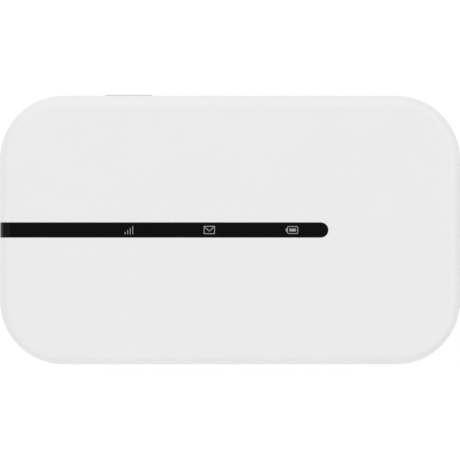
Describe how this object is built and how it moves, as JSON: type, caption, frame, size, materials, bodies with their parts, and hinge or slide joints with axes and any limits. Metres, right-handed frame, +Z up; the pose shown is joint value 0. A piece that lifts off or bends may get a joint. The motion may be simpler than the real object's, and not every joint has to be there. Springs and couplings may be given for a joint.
{
  "type": "mobile hotspot",
  "caption": "Slim round-cornered pocket wireless router with a dark indicator strip, a power key on its edge, a charging socket, a lift-off back cover and a removable battery.",
  "frame": {"origin": "middle of the underside, where the back cover rests on a table", "axes": "+X along the length, towards the plain end away from the charging socket; +Y towards the side with the power key; +Z up, out of the front face"},
  "size_m": [0.1, 0.0586, 0.0139],
  "materials": {
    "shell_white": "moulded white, fine matt texture with a soft sheen",
    "smoked_lens": "smoked, polished",
    "adhesive": "thin double-sided tape",
    "black_moulding": "moulded black",
    "clear_guide": "clear moulded light guide",
    "led_package": "white package with a clear top",
    "key_grey": "moulded light grey, satin",
    "stamped_steel": "stamped, nickel plated",
    "switch_stem": "moulded natural nylon",
    "circuit_board": "solder mask over copper",
    "tinned_can": "drawn tinplate",
    "chip_package": "moulded epoxy",
    "coil_ferrite": "pressed ferrite",
    "thermal_rubber": "soft filled silicone",
    "gold_contact": "gold-plated spring metal",
    "chassis_plastic": "moulded pale grey, matt",
    "screw_steel": "nickel plated",
    "antenna_metal": "bare copper alloy",
    "battery_wrap": "printed film wrap, left bare",
    "foam_pad": "closed-cell foam"
  },
  "bodies": {
    "back_cover": {"back_cover": "shell_white", "battery_pad": "foam_pad"},
    "device": {"front_housing": "shell_white", "indicator_lens": "smoked_lens", "lens_adhesive": "adhesive", "light_shield": "black_moulding", "light_guides": "clear_guide", "indicator_leds": "led_package", "power_switch": "stamped_steel", "main_board": "circuit_board", "modem_can_frame": "tinned_can", "modem_can_lid": "tinned_can", "radio_can_frame": "tinned_can", "radio_can_lid": "tinned_can", "wifi_can_frame": "tinned_can", "wifi_can_lid": "tinned_can", "power_can_frame": "tinned_can", "power_can_lid": "tinned_can", "modem_processor": "chip_package", "memory_chip": "chip_package", "radio_transceiver": "chip_package", "power_amplifiers": "chip_package", "wifi_chip": "chip_package", "power_manager": "chip_package", "charger_coils": "coil_ferrite", "thermal_pads": "thermal_rubber", "usb_shell": "stamped_steel", "usb_tongue": "black_moulding", "usb_contacts": "gold_contact", "sim_reader_shell": "stamped_steel", "sim_reader_base": "black_moulding", "sim_contacts": "gold_contact", "battery_connector": "black_moulding", "battery_blades": "gold_contact", "mid_frame": "chassis_plastic", "frame_screws": "screw_steel", "reset_switch": "stamped_steel", "antenna_carrier": "chassis_plastic", "main_antenna": "antenna_metal", "diversity_antenna": "antenna_metal", "wifi_antenna": "antenna_metal", "antenna_springs": "gold_contact"},
    "battery": {"battery_cell": "battery_wrap", "battery_end_cap": "black_moulding", "battery_contacts": "gold_contact"},
    "power_key": {"power_key": "key_grey", "switch_plunger": "switch_stem"},
    "reset_button": {"reset_cap": "key_grey"}
  },
  "joints": [
    {"name": "device_lift", "type": "slide", "parent": "back_cover", "child": "device", "axis": [0, 0, 1], "range_m": [0, 0.05]},
    {"name": "battery_lift", "type": "slide", "parent": "back_cover", "child": "battery", "axis": [0, 0, 1], "range_m": [0, 0.022]},
    {"name": "power_key_press", "type": "slide", "parent": "device", "child": "power_key", "axis": [0, -1, 0], "range_m": [0, 0.0003], "stiffness_N_per_m": 2000},
    {"name": "reset_press", "type": "slide", "parent": "device", "child": "reset_button", "axis": [0, 0, 1], "range_m": [0, 0.00025], "stiffness_N_per_m": 1500}
  ],
  "couplings": [
    {"joint": "battery_lift", "follows": "device_lift", "ratio": 0.44}
  ]
}
